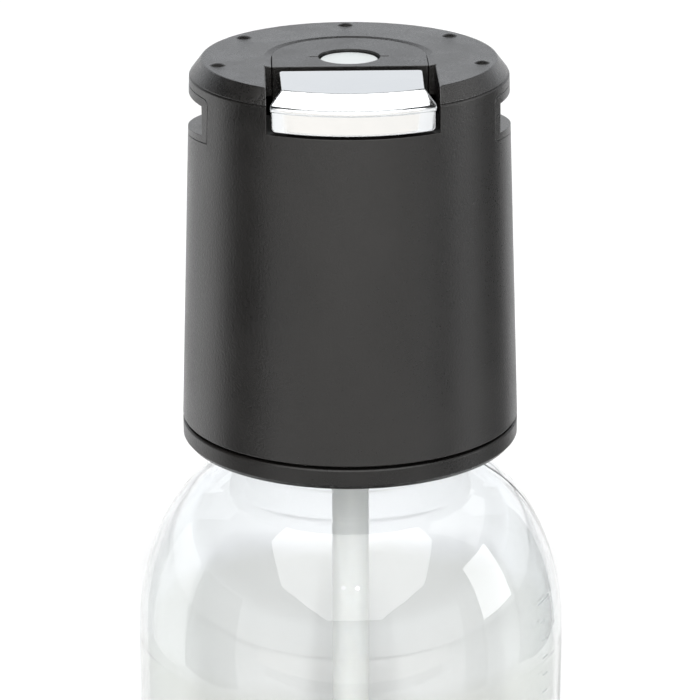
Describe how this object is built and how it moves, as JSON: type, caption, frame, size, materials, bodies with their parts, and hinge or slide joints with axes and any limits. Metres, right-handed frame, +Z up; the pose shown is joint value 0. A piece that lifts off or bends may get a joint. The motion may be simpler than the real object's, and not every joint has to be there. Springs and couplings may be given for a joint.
{
  "type": "carbonating bottle head",
  "caption": "Black carbonating head with chrome pressure-release lever, side rail grooves and dip tube, screwed on a clear round-shouldered bottle.",
  "frame": {"origin": "centre of the base cup's bottom, on the table", "axes": "+Z up along the bottle's axis, -Y to the front where the lever is, +X to the right seen from the front"},
  "size_m": [0.093, 0.0928, 0.2886],
  "materials": {
    "clear_plastic": "clear, polished, slightly rounded highlights",
    "satin_black": "satin black, very fine moulded grain",
    "black_plastic": "plain moulded black",
    "white_plastic": "white, slightly translucent",
    "grey_plastic": "moulded grey engineering plastic",
    "chrome": "bright chrome plating",
    "steel": "drawn stainless steel",
    "brass": "turned brass",
    "rubber": "black silicone rubber"
  },
  "bodies": {
    "bottle": {"bottle": "clear_plastic", "base_cup": "black_plastic"},
    "tube": {"dip_tube": "white_plastic", "tube_nozzle": "white_plastic", "tube_seal": "rubber"},
    "head": {"outer_shell": "satin_black", "top_cover": "satin_black", "centre_plate": "satin_black", "bottom_ring": "satin_black", "right_rail_guide": "satin_black", "left_rail_guide": "satin_black", "neck_collar": "black_plastic", "neck_gasket": "rubber", "valve_block": "grey_plastic", "housing_screws": "steel", "lever_cradle": "black_plastic", "cradle_screws": "steel", "lever_pin": "steel", "stem_spring": "steel", "inlet_seat": "brass", "inlet_spring": "steel", "relief_body": "brass", "relief_spring": "steel", "relief_cap": "brass"},
    "lever": {"release_lever": "chrome"},
    "stem": {"release_stem": "steel", "stem_retainer": "steel", "stem_seal": "rubber"},
    "plunger": {"inlet_plunger": "white_plastic", "inlet_retainer": "brass", "inlet_seal": "rubber"},
    "relief": {"relief_poppet": "brass", "relief_seal": "rubber"}
  },
  "joints": [
    {"name": "head_rise", "type": "slide", "parent": "bottle", "child": "tube", "axis": [0, 0, 1], "range_m": [0, 0.00501]},
    {"name": "head_turn", "type": "hinge", "parent": "tube", "child": "head", "pos_m": [0, 0, 0.2099], "axis": [0, 0, 1], "range_deg": [0, 450]},
    {"name": "lever_lift", "type": "hinge", "parent": "head", "child": "lever", "pos_m": [0, -0.015, 0.2831], "axis": [-1, 0, 0], "range_deg": [0, 35], "stiffness_Nm_per_rad": 0.3, "springref_deg": -11.46},
    {"name": "stem_slide", "type": "slide", "parent": "head", "child": "stem", "axis": [0, 0, -1], "range_m": [0, 0.0022], "deforming": ["stem_spring"]},
    {"name": "plunger_press", "type": "slide", "parent": "head", "child": "plunger", "axis": [0, 0, -1], "range_m": [0, 0.0025], "stiffness_N_per_m": 1000, "springref_m": -0.002, "deforming": ["inlet_spring"]},
    {"name": "relief_lift", "type": "slide", "parent": "head", "child": "relief", "axis": [0, 0, 1], "range_m": [0, 0.0015], "stiffness_N_per_m": 3000, "springref_m": -0.002, "deforming": ["relief_spring"]}
  ],
  "couplings": [
    {"joint": "head_rise", "follows": "head_turn", "m_per_rad": 0.0006366},
    {"joint": "stem_slide", "follows": "lever_lift", "m_per_rad": 0.0036}
  ]
}
